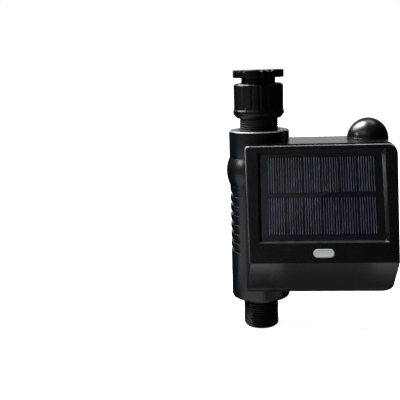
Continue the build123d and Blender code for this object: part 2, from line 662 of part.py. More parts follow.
with BuildPart() as switch_plunger:
    with BuildSketch(FACE.offset(-5.7)):
        with Locations((0, BTN_U)):
            Circle(1.5)
    extrude(amount=1.7)
done(switch_plunger, "switch_plunger")

with BuildPart() as tact_switch:
    with BuildSketch(FACE.offset(-8.5)):
        with Locations((0, BTN_U)):
            Rectangle(6.0, 6.0)
    extrude(amount=3.5)
    with BuildSketch(FACE.offset(-6.6)):
        with Locations((0, BTN_U)):
            Circle(1.56)
    extrude(amount=3.0, mode=Mode.SUBTRACT)
done(tact_switch, "tact_switch")

with BuildPart() as button_board:
    with BuildSketch(FACE.offset(-9.7)):
        with Locations((0, 6.75)):
            Rectangle(12.0, 11.5)
        with Locations((0, 8.7)):
            Rectangle(2 * BTN_POST + 4.8, 7.6)
        with Locations((-BTN_POST, BTN_U), (BTN_POST, BTN_U)):
            Circle(1.1, mode=Mode.SUBTRACT)
    extrude(amount=1.2)
done(button_board, "button_board")

with BuildPart() as status_leds:
    with BuildSketch(FACE.offset(-8.5)):
        with Locations((-4.7, BTN_U), (4.7, BTN_U)):
            Rectangle(2.0, 1.4)
    extrude(amount=0.9)
done(status_leds, "status_leds")

with BuildPart() as button_board_screws:
    with BuildSketch(FACE.offset(-9.7)):
        with Locations((-BTN_POST, BTN_U), (BTN_POST, BTN_U)):
            Circle(1.0)
    extrude(amount=5.5)
    with BuildSketch(FACE.offset(-9.7)):
        with Locations((-BTN_POST, BTN_U), (BTN_POST, BTN_U)):
            Circle(1.9)
    extrude(amount=-1.3)
done(button_board_screws, "button_board_screws")

# ================================================================ dome and radio
with BuildPart() as antenna_dome:
    with Locations((X_DOME, Y_DOME, zl(H_TOP))):
        Sphere(R_DOME)
    with Locations((X_DOME, Y_DOME, zl(H_TOP))):
        Cylinder(20, 20, align=(Align.CENTER, Align.CENTER, Align.MAX), mode=Mode.SUBTRACT)
    with Locations((X_DOME, Y_DOME, zl(H_TOP))):
        Cylinder(15.0, 0.8, align=(Align.CENTER, Align.CENTER, Align.MIN))
    with Locations((X_DOME, Y_DOME, zl(H_TOP))):
        Cylinder(13.0, 4.0, align=(Align.CENTER, Align.CENTER, Align.MAX))
    with Locations((X_DOME, Y_DOME, zl(H_TOP))):
        Sphere(R_DOME - T_DOME - 1.2, mode=Mode.SUBTRACT)
        Cylinder(R_DOME - T_DOME - 1.3, 4.2, align=(Align.CENTER, Align.CENTER, Align.MAX), mode=Mode.SUBTRACT)
done(antenna_dome, "antenna_dome")

with BuildPart() as antenna:
    add(block(X_DOME - 5.0, X_DOME + 5.0, Y_DOME - 0.5, Y_DOME + 0.5, 12.6, 31.0))
done(antenna, "antenna")

with BuildPart() as antenna_lead:
    # thin coaxial lead round the board's edge to the radio module
    pts = [(X_DOME, Y_DOME, 12.6), (X_DOME, Y_DOME, -14.0), (85.0, Y_DOME, -14.0), (85.0, -22.85, -14.0), (74.0, -22.85, -14.0)]
    with BuildLine() as path:
        FilletPolyline(*[(x, y, zl(h)) for x, y, h in pts], radius=2.5)
    with BuildSketch(Plane(origin=path.line @ 0, z_dir=path.line % 0)):
        Circle(0.6)
    sweep()
done(antenna_lead, "antenna_lead")

with BuildPart() as antenna_base:
    # insulating disc that stands in the dome's skirt and holds the antenna upright
    add(block(X_DOME - 7.5, X_DOME + 7.5, Y_DOME - 4.0, Y_DOME + 4.0, 18.0, 20.5))
    with Locations((X_DOME, Y_DOME, zl(17.5))):
        Cylinder(11.85, 1.5, align=(Align.CENTER, Align.CENTER, Align.MIN))
    add(block(X_DOME - 5.0, X_DOME + 5.0, Y_DOME - 0.5, Y_DOME + 0.5, 12.0, 31.0), mode=Mode.SUBTRACT)
done(antenna_base, "antenna_base")

# ================================================================ electronics
with BuildPart() as main_board:
    with BuildSketch(at_y(-20.0)):
        with BuildLine():
            Polyline((33.5, zl(-60.0)), (82.4, zl(-60.0)), (82.4, zl(16.5)), (33.5, zl(16.5)), close=True)
        make_face()
        with Locations((HOUSING_SCREWS[0][0], zl(HOUSING_SCREWS[0][1]))):
            Circle(5.1, mode=Mode.SUBTRACT)
        with Locations(*[(x, zl(level)) for x, level in BOARD_POSTS]):
            Circle(1.4, mode=Mode.SUBTRACT)
    extrude(amount=1.6)
done(main_board, "main_board")

with BuildPart() as board_screws:
    for x, level in BOARD_POSTS:
        add(screw_y(x, level, -21.6, 2.3, 1.5, 1.25, 8.0, toward=1))
done(board_screws, "board_screws")

with BuildPart() as radio_module:
    add(block(62.0, 74.0, -24.1, -21.6, -22.0, -6.0))
done(radio_module, "radio_module")

with BuildPart() as board_connectors:
    for x in (X_PLUG_BAT, X_PLUG_PANEL, X_PLUG_MOTOR):
        add(block(x - 3.2, x + 3.2, -26.6, -21.6, H_PLUG - 2.5, H_PLUG + 2.5))
        add(block(x - 2.5, x + 2.5, -26.7, -23.0, H_PLUG - 1.8, H_PLUG + 1.8), mode=Mode.SUBTRACT)
done(board_connectors, "board_connectors")

with BuildPart() as lead_plugs:
    for x in (X_PLUG_BAT, X_PLUG_PANEL, X_PLUG_MOTOR):
        add(block(x - 2.4, x + 2.4, -28.6, -23.1, H_PLUG - 1.7, H_PLUG + 1.7))
done(lead_plugs, "lead_plugs")


def lead(points, r=R_LEAD, bend=1.6):
    """A round lead along a bent path of (x, y, level) points."""
    pts = [(x, y, zl(h)) for x, y, h in points]
    with BuildPart() as made:
        with BuildLine() as path:
            FilletPolyline(*pts, radius=bend)
        with BuildSketch(Plane(origin=path.line @ 0, z_dir=path.line % 0)):
            Circle(r)
        sweep()
    return made.part


def plug_end(x, y=-31.5):
    """Last stretch of a lead, up in front of the board and back into its plug."""
    return [(x, y, H_PLUG), (x, -28.6, H_PLUG)]


with BuildPart() as battery_leads:
    low = -63.35
    add(lead([(25.65, 0.5, low), (25.65, -12.0, low), (X_PLUG_BAT - 0.8, -12.0, low), (X_PLUG_BAT - 0.8, -31.5, low)] + plug_end(X_PLUG_BAT - 0.8)))
    add(lead([(91.25, 0.5, low), (91.25, -12.0, low), (X_PLUG_BAT + 0.8, -12.0, low), (X_PLUG_BAT + 0.8, -31.5, low)] + plug_end(X_PLUG_BAT + 0.8)))
done(battery_leads, "battery_leads")

with BuildPart() as motor_leads:
    low = -61.4
    add(lead([(65.6, -2.0, -40.0), (X_PLUG_MOTOR - 0.8, -2.0, -40.0), (X_PLUG_MOTOR - 0.8, -2.0, low), (X_PLUG_MOTOR - 0.8, -31.5, low)] + plug_end(X_PLUG_MOTOR - 0.8)))
    add(lead([(65.6, 2.0, -40.0), (X_PLUG_MOTOR + 0.8, 2.0, -40.0), (X_PLUG_MOTOR + 0.8, 2.0, low), (X_PLUG_MOTOR + 0.8, -31.5, low)] + plug_end(X_PLUG_MOTOR + 0.8)))
done(motor_leads, "motor_leads")

with BuildPart() as panel_leads:
    # from the panel's back through the hole in the pocket's floor
    for dx in (-0.8, 0.8):
        x = X_PLUG_PANEL + dx
        ends = [(x, Y_CREASE + 30.0 * S + d * C, H_CREASE + 30.0 * C - d * S) for d in (D_RECESS + T_PANEL, 14.0)]
        add(lead(ends + [(x, -33.0, H_PLUG), (x, -28.6, H_PLUG)]))
done(panel_leads, "panel_leads")

with BuildPart() as charge_capacitor:
    add(rod_y(3.15, -29.0, -21.6, 41.0, -20.0))
done(charge_capacitor, "charge_capacitor")

with BuildPart() as battery_cell:
    add(rod_x(R_CELL, X_CELL0, X_CELL0 + CELL_L - 1.2, Y_CELL, H_CELL))
    add(rod_x(2.8, X_CELL0 + CELL_L - 1.2, X_CELL0 + CELL_L, Y_CELL, H_CELL))
done(battery_cell, "battery_cell")

with BuildPart() as battery_holder:
    # trough with two end walls, open to the front
    add(block(23.9, 92.1, Y_CELL - 1.0, Y_CELL + 9.95, -81.0, -64.2))
    add(block(23.9, 25.3, Y_CELL - 6.0, Y_CELL + 9.95, -81.0, -64.2))
    add(block(91.5, 92.1, Y_CELL - 6.0, Y_CELL + 9.95, -79.5, -64.2))
    add(rod_x(R_CELL + 0.1, 25.3, 91.5, Y_CELL, H_CELL), mode=Mode.SUBTRACT)
    add(block(25.3, 91.5, -12.0, Y_CELL, -90.0, -60.0), mode=Mode.SUBTRACT)
    add(block(91.0, 93.0, -12.0, 16.0, -90.0, -79.5), mode=Mode.SUBTRACT)
done(battery_holder, "battery_holder")

with BuildPart() as battery_contacts:
    add(block(25.3, 26.0, Y_CELL - 3.0, Y_CELL + 3.0, H_CELL - 3.0, H_CELL + 3.0))
    add(block(25.3, 26.0, Y_CELL - 2.5, Y_CELL - 0.1, H_CELL + 3.0, -62.6))
    add(block(91.0, 91.5, Y_CELL - 3.0, Y_CELL + 3.0, H_CELL - 3.0, H_CELL + 3.0))
    add(block(91.0, 91.5, Y_CELL - 2.5, Y_CELL - 0.1, H_CELL + 3.0, -62.6))
done(battery_contacts, "battery_contacts")

# ================================================================ valve drive
H_OUT, H_ID2, H_ID1, H_MOT = 0.0, -CD, -2 * CD, -3 * CD
PIN_PHASE = 90.0 + 180.0 / N_PIN

with BuildPart() as gearbox_case:
    with BuildSketch(at_x(X_CASE)) as sk:
        with Locations((0, zl((CASE_H0 + CASE_H1) / 2))):
            RectangleRounded(2 * CASE_Y, CASE_H1 - CASE_H0, 3.0)
    extrude(amount=X_COVER - X_CASE)
    with BuildSketch(at_x(X_CASE_IN)):
        with Locations((0, zl((H_OUT + H_ID1) / 2))):
            SlotOverall(2 * 12.1 + (H_OUT - H_ID1), 2 * 12.1, rotation=90)
        with Locations((0, zl((H_ID1 + H_MOT) / 2))):
            SlotOverall(2 * 5.6 + (H_ID1 - H_MOT), 2 * 5.6, rotation=90)
    extrude(amount=20, mode=Mode.SUBTRACT)
    add(rod_x(R_STEM_HOLE + 0.15, X_CASE - 1, X_CASE_IN + 1), mode=Mode.SUBTRACT)
    for level in (H_ID2, H_ID1):
        add(rod_x(2.6, X_CASE_IN - 0.2, X_CASE_IN + 0.2, 0, level))
        add(rod_x(1.0, X_CASE + 0.6, X_CASE_IN + 2, 0, level), mode=Mode.SUBTRACT)
    for y, level in ((11.6, 11.6), (-11.6, 11.6), (11.6, -47.6), (-11.6, -47.6)):
        add(rod_x(1.0, 35.4, X_COVER + 1, y, level), mode=Mode.SUBTRACT)
done(gearbox_case, "gearbox_case")

with BuildPart() as gearbox_cover:
    with BuildSketch(at_x(X_COVER)):
        with Locations((0, zl((CASE_H0 + CASE_H1) / 2))):
            RectangleRounded(2 * CASE_Y, CASE_H1 - CASE_H0, 3.0)
    extrude(amount=X_COVER_END - X_COVER)
    for level in (H_ID2, H_ID1):
        add(rod_x(1.0, X_COVER - 1, X_COVER_END - 0.5, 0, level), mode=Mode.SUBTRACT)
    add(rod_x(3.1, X_COVER - 1, X_COVER_END + 1, 0, H_MOT), mode=Mode.SUBTRACT)
    for y, level in ((11.6, 11.6), (-11.6, 11.6), (11.6, -47.6), (-11.6, -47.6)):
        add(rod_x(1.1, X_COVER - 1, X_COVER_END + 1, y, level), mode=Mode.SUBTRACT)
done(gearbox_cover, "gearbox_cover")

with BuildPart() as gearbox_screws:
    for y, level in ((11.6, 11.6), (-11.6, 11.6), (11.6, -47.6), (-11.6, -47.6)):
        add(rod_x(1.0, 36.4, X_COVER_END, y, level))
        add(rod_x(1.9, X_COVER_END, X_COVER_END + 1.3, y, level))
done(gearbox_screws, "gearbox_screws")

with BuildPart() as idler_pins:
    for level in (H_ID2, H_ID1):
        add(rod_x(1.0, X_CASE + 0.6, X_COVER_END - 0.5, 0, level))
done(idler_pins, "idler_pins")

with BuildPart() as output_gear_bore:
    add(rod_x(3.0, 33.0, 36.0))
    add(rod_x(R_STEM, 32.0, 33.0))
    add(block(33.0, 36.5, -3.2, 3.2, 2.2, 3.2), mode=Mode.SUBTRACT)
    add(block(33.0, 36.5, -3.2, 3.2, -3.2, -2.2), mode=Mode.SUBTRACT)

with BuildPart() as output_gear:
    add(gear(N_WHEEL, -90.0, 32.4, 35.2, H_OUT))
    add(output_gear_bore.part, mode=Mode.SUBTRACT)
done(output_gear, "output_gear")

with BuildPart() as idler_gear_low:
    # pinion drives the output wheel; its own wheel is driven by the next pinion
    add(gear(N_PIN, PIN_PHASE, 31.6, 35.4, H_ID2))
    add(gear(N_WHEEL, -90.0, 35.4, 37.8, H_ID2))
    add(rod_x(2.2, 37.8, 42.6, 0, H_ID2))
    add(rod_x(1.05, 31.0, 43.0, 0, H_ID2), mode=Mode.SUBTRACT)
done(idler_gear_low, "idler_gear_low")

with BuildPart() as idler_gear_high:
    add(rod_x(2.2, 31.6, 35.2, 0, H_ID1))
    add(gear(N_PIN, PIN_PHASE, 35.2, 38.6, H_ID1))
    add(gear(N_WHEEL, -90.0, 38.6, 41.0, H_ID1))
    add(rod_x(2.2, 41.0, 42.6, 0, H_ID1))
    add(rod_x(1.05, 31.0, 43.0, 0, H_ID1), mode=Mode.SUBTRACT)
done(idler_gear_high, "idler_gear_high")

with BuildPart() as motor_pinion:
    add(gear(N_PIN, PIN_PHASE, 38.4, 41.4, H_MOT))
    add(rod_x(1.0, 38.0, 42.0, 0, H_MOT), mode=Mode.SUBTRACT)
done(motor_pinion, "motor_pinion")

with BuildPart() as motor_shaft:
    add(rod_x(1.0, 38.4, 64.6, 0, H_MOT))
done(motor_shaft, "motor_shaft")

with BuildPart() as motor_can:
    # flat-sided can with its front boss in the cover
    add(rod_x(10.0, X_COVER_END, 63.0, 0, H_MOT))
    add(block(X_COVER_END - 1, 64.0, 7.7, 12.0, H_MOT - 12, H_MOT + 12), mode=Mode.SUBTRACT)
    add(block(X_COVER_END - 1, 64.0, -12.0, -7.7, H_MOT - 12, H_MOT + 12), mode=Mode.SUBTRACT)
    add(rod_x(3.0, X_COVER_END - 1.2, X_COVER_END, 0, H_MOT))
    add(rod_x(1.05, 40.0, 66.0, 0, H_MOT), mode=Mode.SUBTRACT)
done(motor_can, "motor_can")

with BuildPart() as motor_end_cap:
    add(rod_x(9.6, 63.0, 65.6, 0, H_MOT))
    add(block(62.0, 67.0, 7.4, 12.0, H_MOT - 12, H_MOT + 12), mode=Mode.SUBTRACT)
    add(block(62.0, 67.0, -12.0, -7.4, H_MOT - 12, H_MOT + 12), mode=Mode.SUBTRACT)
    add(rod_x(1.05, 62.0, 64.8, 0, H_MOT), mode=Mode.SUBTRACT)
done(motor_end_cap, "motor_end_cap")
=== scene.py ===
import json
import math
import random

import bmesh
import bpy
from mathutils import Matrix, Vector


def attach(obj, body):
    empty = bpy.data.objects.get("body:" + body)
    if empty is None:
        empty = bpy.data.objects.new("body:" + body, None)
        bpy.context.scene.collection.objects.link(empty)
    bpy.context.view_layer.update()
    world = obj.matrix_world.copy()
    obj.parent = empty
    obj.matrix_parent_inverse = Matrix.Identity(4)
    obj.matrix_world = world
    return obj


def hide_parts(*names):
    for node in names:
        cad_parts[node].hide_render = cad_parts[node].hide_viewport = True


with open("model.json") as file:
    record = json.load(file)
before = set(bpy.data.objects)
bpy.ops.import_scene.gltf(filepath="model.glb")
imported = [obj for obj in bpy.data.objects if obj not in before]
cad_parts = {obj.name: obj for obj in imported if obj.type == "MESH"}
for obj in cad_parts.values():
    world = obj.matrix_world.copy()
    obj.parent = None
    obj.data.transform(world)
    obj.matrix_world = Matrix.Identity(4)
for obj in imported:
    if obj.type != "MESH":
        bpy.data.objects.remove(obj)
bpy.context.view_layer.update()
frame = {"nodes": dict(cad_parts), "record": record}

nodes = frame["nodes"]

# ---------------------------------------------------------------- dimensions, mm, levels from the valve bulge's centre
ZB = -73.2
XL, XR = -10.6, 94.6
XC = (XL + XR) / 2
TILT = math.radians(21.2)
S, C = math.sin(TILT), math.cos(TILT)
Y_CREASE, H_CREASE = -58.6, -54.8
SUN_X, SUN_U0, SUN_U1 = 41.6, 15.5, 76.1
CELL_X0, CELL_X1 = -37.1, 37.0
CELL_ROWS = ((19.6, 45.7), (48.6, 74.1))
PITCH = 1.814  # 3/4 and 1/2 inch pipe threads, 14 to the inch


def m(x, y, h):
    """Millimetres with a level from the bulge's centre, to metres in the frame."""
    return (x / 1000.0, y / 1000.0, (ZB + h) / 1000.0)


def on_face(x, u, n):
    """A point of the solar face's own frame: x from its middle, u up the slope, n out of it."""
    return m(XC + x, Y_CREASE + u * S - n * C, H_CREASE + u * C + n * S)


def smooth01(t):
    t = min(1.0, max(0.0, t))
    return t * t * (3 - 2 * t)


# ---------------------------------------------------------------- mesh helpers
def make_mesh(name, verts, faces, sharp_deg=38.0):
    me = bpy.data.meshes.new(name)
    me.from_pydata(verts, [], faces)
    me.validate()
    bm = bmesh.new()
    bm.from_mesh(me)
    bmesh.ops.remove_doubles(bm, verts=bm.verts, dist=1e-7)
    bmesh.ops.recalc_face_normals(bm, faces=bm.faces)
    bm.to_mesh(me)
    bm.free()
    me.polygons.foreach_set("use_smooth", [True] * len(me.polygons))
    me.set_sharp_from_angle(angle=math.radians(sharp_deg))
    ob = bpy.data.objects.new(name, me)
    bpy.context.scene.collection.objects.link(ob)
    return ob


def softened(points, default=0.0, steps=4):
    """A closed outline of (r, h) or (r, h, radius) points with its corners rounded."""
    out = []
    n = len(points)
    for i, p in enumerate(points):
        rad = p[2] if len(p) > 2 else default
        a, b, c = Vector(points[i - 1][:2]), Vector(p[:2]), Vector(points[(i + 1) % n][:2])
        u, v = (a - b), (c - b)
        if rad <= 0 or u.length < 1e-6 or v.length < 1e-6:
            out.append((b.x, b.y))
            continue
        u, lu = u.normalized(), u.length
        v, lv = v.normalized(), v.length
        ang = u.angle(v)
        if ang > math.radians(176):
            out.append((b.x, b.y))
            continue
        cut = min(rad / math.tan(ang / 2), lu * 0.48, lv * 0.48)
        r = cut * math.tan(ang / 2)
        centre = b + (u + v).normalized() * (r / math.sin(ang / 2))
        s, e = b + u * cut - centre, b + v * cut - centre
        for k in range(steps + 1):
            t = k / steps
            d = (s * (1 - t) + e * t)
            d = d.normalized() * r
            out.append((centre.x + d.x, centre.y + d.y))
    return out


def refined(points, longest):
    """The closed outline with no step longer than given."""
    out = []
    for i, (r, h) in enumerate(points):
        r2, h2 = points[(i + 1) % len(points)]
        n = max(1, int(math.ceil(math.hypot(r2 - r, h2 - h) / longest)))
        for k in range(n):
            out.append((r + (r2 - r) * k / n, h + (h2 - h) * k / n))
    return out


def lathe(name, outline, seg=192, change=None, sharp_deg=38.0):
    """A closed body turned about the pipe. change(r, h, angle) may move each point."""
    n = len(outline)
    verts, faces = [], []
    for k in range(seg):
        a = 2 * math.pi * k / seg
        ca, sa = math.cos(a), math.sin(a)
        for r, h in outline:
            if change:
                r2, h2 = change(r, h, a)
            else:
                r2, h2 = r, h
            verts.append(m(r2 * ca, r2 * sa, h2))
    for k in range(seg):
        k2 = (k + 1) % seg
        for i in range(n):
            j = (i + 1) % n
            faces.append((k * n + i, k * n + j, k2 * n + j, k2 * n + i))
    return make_mesh(name, verts, faces, sharp_deg)


def thread_wave(h, a, right_hand=1.0):
    """0 at the root, 1 at the crest of a 55 degree thread with rounded crest and root."""
    t = (h / PITCH - right_hand * a / (2 * math.pi)) % 1.0
    tri = 1 - abs(2 * t - 1)
    return smooth01((tri - 0.14) / 0.72)


def slot_wave(a, count, start, half_deg, soft_deg):
    """1 in the slots that are spaced round the rim, 0 between them."""
    step = 2 * math.pi / count
    d = abs((a - start + step / 2) % step - step / 2)
    return 1.0 - smooth01((math.degrees(d) - half_deg + soft_deg) / (2 * soft_deg))


# notches between the flange's teeth and lugs: angle to the right of the front, half width, both in degrees
NOTCHES = ((-68.0, 3.0), (-53.0, 3.6), (-36.5, 4.4), (5.5, 3.6), (20.7, 3.4), (33.0, 2.8))


def notch_wave(a, soft_deg=1.6):
    """1 in the flange's notches, 0 on its teeth and lugs. The back has the same pattern as the front."""
    deg = (math.degrees(a) + 90.0 + 180.0) % 360.0 - 180.0
    if abs(deg) > 90:
        deg = math.copysign(180.0, deg) - deg
    return max(1.0 - smooth01((abs(deg - at) - half + soft_deg) / (2 * soft_deg)) for at, half in NOTCHES)


def rings_mesh(name, loops, cap_first=True, cap_last=True, sharp_deg=38.0):
    """Skin over loops with the same number of points, closed at both ends."""
    n = len(loops[0])
    verts = [p for loop in loops for p in loop]
    faces = []
    for k in range(len(loops) - 1):
        for i in range(n):
            j = (i + 1) % n
            faces.append((k * n + i, k * n + j, (k + 1) * n + j, (k + 1) * n + i))
    if cap_first:
        faces.append(tuple(range(n - 1, -1, -1)))
    if cap_last:
        base = (len(loops) - 1) * n
        faces.append(tuple(base + i for i in range(n)))
    return make_mesh(name, verts, faces, sharp_deg)


def pill_loop(length, width, inset, u_mid, depth, arc=18):
    """Outline of a slot on the face, moved in by inset."""
    r = width / 2 - inset
    half = (length - width) / 2
    pts = []
    for side in (1, -1):
        for k in range(arc + 1):
            a = -math.pi / 2 + math.pi * k / arc
            x, u = half + r * math.cos(a), r * math.sin(a)
            pts.append(on_face(side * x, u_mid + side * u, depth))
    return pts


def rect_loop(x0, x1, u0, u1, depth, rad=0.0, arc=4):
    pts = []
    for cx, cu, start in ((x1 - rad, u0 + rad, -90), (x1 - rad, u1 - rad, 0), (x0 + rad, u1 - rad, 90), (x0 + rad, u0 + rad, 180)):
        for k in range(arc + 1):
            a = math.radians(start + 90 * k / arc)
            pts.append(on_face(cx + rad * math.cos(a), cu + rad * math.sin(a), depth))
    return pts


def joined(name, parts):
    """Several closed meshes as one object."""
    bpy.ops.object.select_all(action="DESELECT")
    for o in parts:
        o.select_set(True)
    bpy.context.view_layer.objects.active = parts[0]
    bpy.ops.object.join()
    parts[0].name = name
    parts[0].data.name = name
    return parts[0]


# ---------------------------------------------------------------- materials
def new_material(name):
    mat = bpy.data.materials.new(name)
    mat.use_nodes = True
    nt = mat.node_tree
    nt.nodes.clear()
    out = nt.nodes.new("ShaderNodeOutputMaterial")
    bsdf = nt.nodes.new("ShaderNodeBsdfPrincipled")
    nt.links.new(bsdf.outputs["BSDF"], out.inputs["Surface"])
    coord = nt.nodes.new("ShaderNodeTexCoord")
    return mat, nt, bsdf, coord.outputs["Object"], out


def noise(nt, vec, scale, detail=3.0, rough=0.55, stretch=None):
    if stretch:
        mp = nt.nodes.new("ShaderNodeMapping")
        mp.inputs["Scale"].default_value = stretch
        nt.links.new(vec, mp.inputs["Vector"])
        vec = mp.outputs["Vector"]
    t = nt.nodes.new("ShaderNodeTexNoise")
    t.inputs["Scale"].default_value = scale
    t.inputs["Detail"].default_value = detail
    t.inputs["Roughness"].default_value = rough
    nt.links.new(vec, t.inputs["Vector"])
    return t.outputs["Fac"]


def remap(nt, value, a0, a1, b0, b1):
    r = nt.nodes.new("ShaderNodeMapRange")
    for key, v in (("From Min", a0), ("From Max", a1), ("To Min", b0), ("To Max", b1)):
        r.inputs[key].default_value = v
    nt.links.new(value, r.inputs["Value"])
    return r.outputs["Result"]


def mix_colour(nt, fac, a, b):
    x = nt.nodes.new("ShaderNodeMix")
    x.data_type = "RGBA"
    for socket, val in ((x.inputs[6], a), (x.inputs[7], b)):
        if isinstance(val, bpy.types.NodeSocket):
            nt.links.new(val, socket)
        else:
            socket.default_value = (*val, 1.0)
    nt.links.new(fac, x.inputs[0])
    return x.outputs[2]


def maths(nt, op, a, b=None, clamp=False):
    x = nt.nodes.new("ShaderNodeMath")
    x.operation = op
    x.use_clamp = clamp
    for socket, val in ((x.inputs[0], a), (x.inputs[1], b)):
        if val is None:
            continue
        if isinstance(val, bpy.types.NodeSocket):
            nt.links.new(val, socket)
        else:
            socket.default_value = val
    return x.outputs[0]


def edge_mask(nt, radius, lo=0.006, hi=0.10):
    """1 on the body's sharp edges, 0 on its flats."""
    bev = nt.nodes.new("ShaderNodeBevel")
    bev.samples = 4
    bev.inputs["Radius"].default_value = radius
    geo = nt.nodes.new("ShaderNodeNewGeometry")
    dot = nt.nodes.new("ShaderNodeVectorMath")
    dot.operation = "DOT_PRODUCT"
    nt.links.new(bev.outputs["Normal"], dot.inputs[0])
    nt.links.new(geo.outputs["Normal"], dot.inputs[1])
    away = maths(nt, "SUBTRACT", 1.0, dot.outputs["Value"])
    return remap(nt, away, lo, hi, 0.0, 1.0), bev.outputs["Normal"]


def painted_rim_highlight_mask(nt, vec):
    """Where a painted highlight goes: 1 on the rounded rims of the collar and housing front that look up, on the
    front's left rim and on the window's lower wall, the places the lamps catch; weaker on the nut's foot ring. Second,
    1 on the window's upper wall and part of it on the ringed neck."""
    geo = nt.nodes.new("ShaderNodeNewGeometry")
    n = nt.nodes.new("ShaderNodeSeparateXYZ")
    nt.links.new(geo.outputs["Normal"], n.inputs[0])
    place = nt.nodes.new("ShaderNodeSeparateXYZ")
    nt.links.new(vec, place.inputs[0])
    x, y, z = (place.outputs[k] for k in "XYZ")
    up = maths(nt, "MULTIPLY", remap(nt, n.outputs["Z"], 0.56, 0.70, 0.0, 1.0), remap(nt, n.outputs["Z"], 0.88, 0.96, 1.0, 0.0))
    left = maths(nt, "MULTIPLY", remap(nt, n.outputs["X"], -0.36, -0.56, 0.0, 1.0), remap(nt, n.outputs["X"], -0.90, -0.97, 1.0, 0.0))
    left = maths(nt, "MULTIPLY", left, remap(nt, n.outputs["Z"], -0.2, 0.1, 0.0, 0.45))
    left = maths(nt, "MULTIPLY", left, remap(nt, z, -0.085, -0.058, 0.35, 1.0))
    left = maths(nt, "MULTIPLY", left, remap(nt, x, -0.004, -0.003, 1.0, 0.0))
    front = remap(nt, y, -0.0262, -0.0258, 1.0, 0.0)
    r = maths(nt, "SQRT", maths(nt, "ADD", maths(nt, "MULTIPLY", x, x), maths(nt, "MULTIPLY", y, y)))
    pipe = maths(nt, "MULTIPLY", remap(nt, r, 0.0158, 0.0162, 0.0, 1.0), remap(nt, z, -0.0466, -0.0460, 0.0, 1.0))
    pipe = maths(nt, "MULTIPLY", pipe, remap(nt, r, 0.0222, 0.0224, 1.0, 0.0))
    pipe = maths(nt, "MULTIPLY", pipe, maths(nt, "MULTIPLY", remap(nt, z, -0.040, -0.039, 1.0, 0.18), remap(nt, z, -0.0245, -0.0240, 1.0, 0.0)))
    sill = maths(nt, "MULTIPLY", remap(nt, n.outputs["Z"], 0.75, 0.85, 0.0, 1.0), maths(nt, "MULTIPLY", remap(nt, z, -0.1145, -0.1135, 0.085, 0.0), remap(nt, z, -0.1260, -0.1255, 0.0, 1.0)))
    # lit: the painted highlight's mask, rims facing up on the front and pipe, and the front's left rim and window sill
    lit = maths(nt, "MAXIMUM", maths(nt, "MULTIPLY", up, maths(nt, "MAXIMUM", front, pipe)), maths(nt, "MULTIPLY", maths(nt, "MAXIMUM", left, sill), front))
    lintel = maths(nt, "MULTIPLY", remap(nt, n.outputs["Z"], -0.12, -0.22, 0.0, 1.0), maths(nt, "MULTIPLY", front, remap(nt, z, -0.064, -0.062, 0.0, 1.0)))
    neck = maths(nt, "MULTIPLY", remap(nt, r, 0.0155, 0.0158, 0.6, 0.0), maths(nt, "MULTIPLY", remap(nt, z, -0.0438, -0.0434, 0.0, 1.0), remap(nt, z, -0.0300, -0.0295, 1.0, 0.0)))
    return lit, maths(nt, "MAXIMUM", lintel, neck)


def bump(nt, height, strength, distance, normal=None):
    b = nt.nodes.new("ShaderNodeBump")
    b.inputs["Strength"].default_value = strength
    b.inputs["Distance"].default_value = distance
    nt.links.new(height, b.inputs["Height"])
    if normal is not None:
        nt.links.new(normal, b.inputs["Normal"])
    return b.outputs["Normal"]


def moulded(name, base, rough=(0.32, 0.44), grain=2400.0, grain_depth=0.000012, spread=0.35, worn=None, edge=0.00045,
            spec=0.5, coat=0.0, coat_rough=0.05, scuffs=0.0, rim=None):
    """Injection-moulded plastic: spark-eroded grain, slow shifts of tone, and edges that are rubbed a little brighter.
    A rim colour, when given, is a painted highlight, mixed into the base colour on rims that face up or to the left.
    """
    mat, nt, bsdf, vec, out = new_material(name)
    slow = noise(nt, vec, 38.0, 4.0)
    fine = noise(nt, vec, grain, 2.0, 0.6)
    dark = tuple(c * (1 - spread) for c in base)
    light = tuple(c * (1 + spread) for c in base)
    tone = mix_colour(nt, remap(nt, slow, 0.32, 0.68, 0.0, 1.0), dark, light)
    speck = mix_colour(nt, remap(nt, fine, 0.45, 0.75, 0.0, 0.35), tone, light)
    mask, rounded = edge_mask(nt, edge)
    rub = maths(nt, "MULTIPLY", mask, remap(nt, noise(nt, vec, 420.0, 4.0, 0.7), 0.42, 0.68, 0.0, 0.65))
    worn = worn or tuple(min(1.0, c * 2.4 + 0.006) for c in base)
    tone = mix_colour(nt, rub, speck, worn)
    # painted highlight: the rim colour goes into the base colour on rims that face up or left, patchy with noise
    if rim:
        patchy = remap(nt, noise(nt, vec, 130.0, 3.0, 0.6), 0.3, 0.6, 0.6, 1.0)
        lit, lintel = painted_rim_highlight_mask(nt, vec)
        tone = mix_colour(nt, maths(nt, "MULTIPLY", lit, patchy), tone, rim)
    nt.links.new(tone, bsdf.inputs["Base Color"])
    rr = remap(nt, noise(nt, vec, 95.0, 5.0, 0.6), 0.3, 0.7, rough[0], rough[1])
    if scuffs:
        scratch = noise(nt, vec, 260.0, 3.0, 0.7, stretch=(1.0, 1.0, 9.0))
        rr = maths(nt, "ADD", rr, remap(nt, scratch, 0.62, 0.8, 0.0, scuffs))
    if rim:
        rr = maths(nt, "ADD", rr, maths(nt, "MULTIPLY", lintel, 0.5))
    nt.links.new(rr, bsdf.inputs["Roughness"])
    bsdf.inputs["Specular IOR Level"].default_value = spec
    bsdf.inputs["IOR"].default_value = 1.49
    bsdf.inputs["Coat Weight"].default_value = coat
    bsdf.inputs["Coat Roughness"].default_value = coat_rough
    nt.links.new(bump(nt, fine, 0.55, grain_depth, rounded), bsdf.inputs["Normal"])
    return mat


def rubber(name, base):
    mat = moulded(name, base, rough=(0.55, 0.72), grain=1500.0, grain_depth=0.00002, spread=0.3, spec=0.35)
    mat.node_tree.nodes["Principled BSDF"].inputs["Sheen Weight"].default_value = 0.08
    mat.node_tree.nodes["Principled BSDF"].inputs["Sheen Roughness"].default_value = 0.5
    return mat


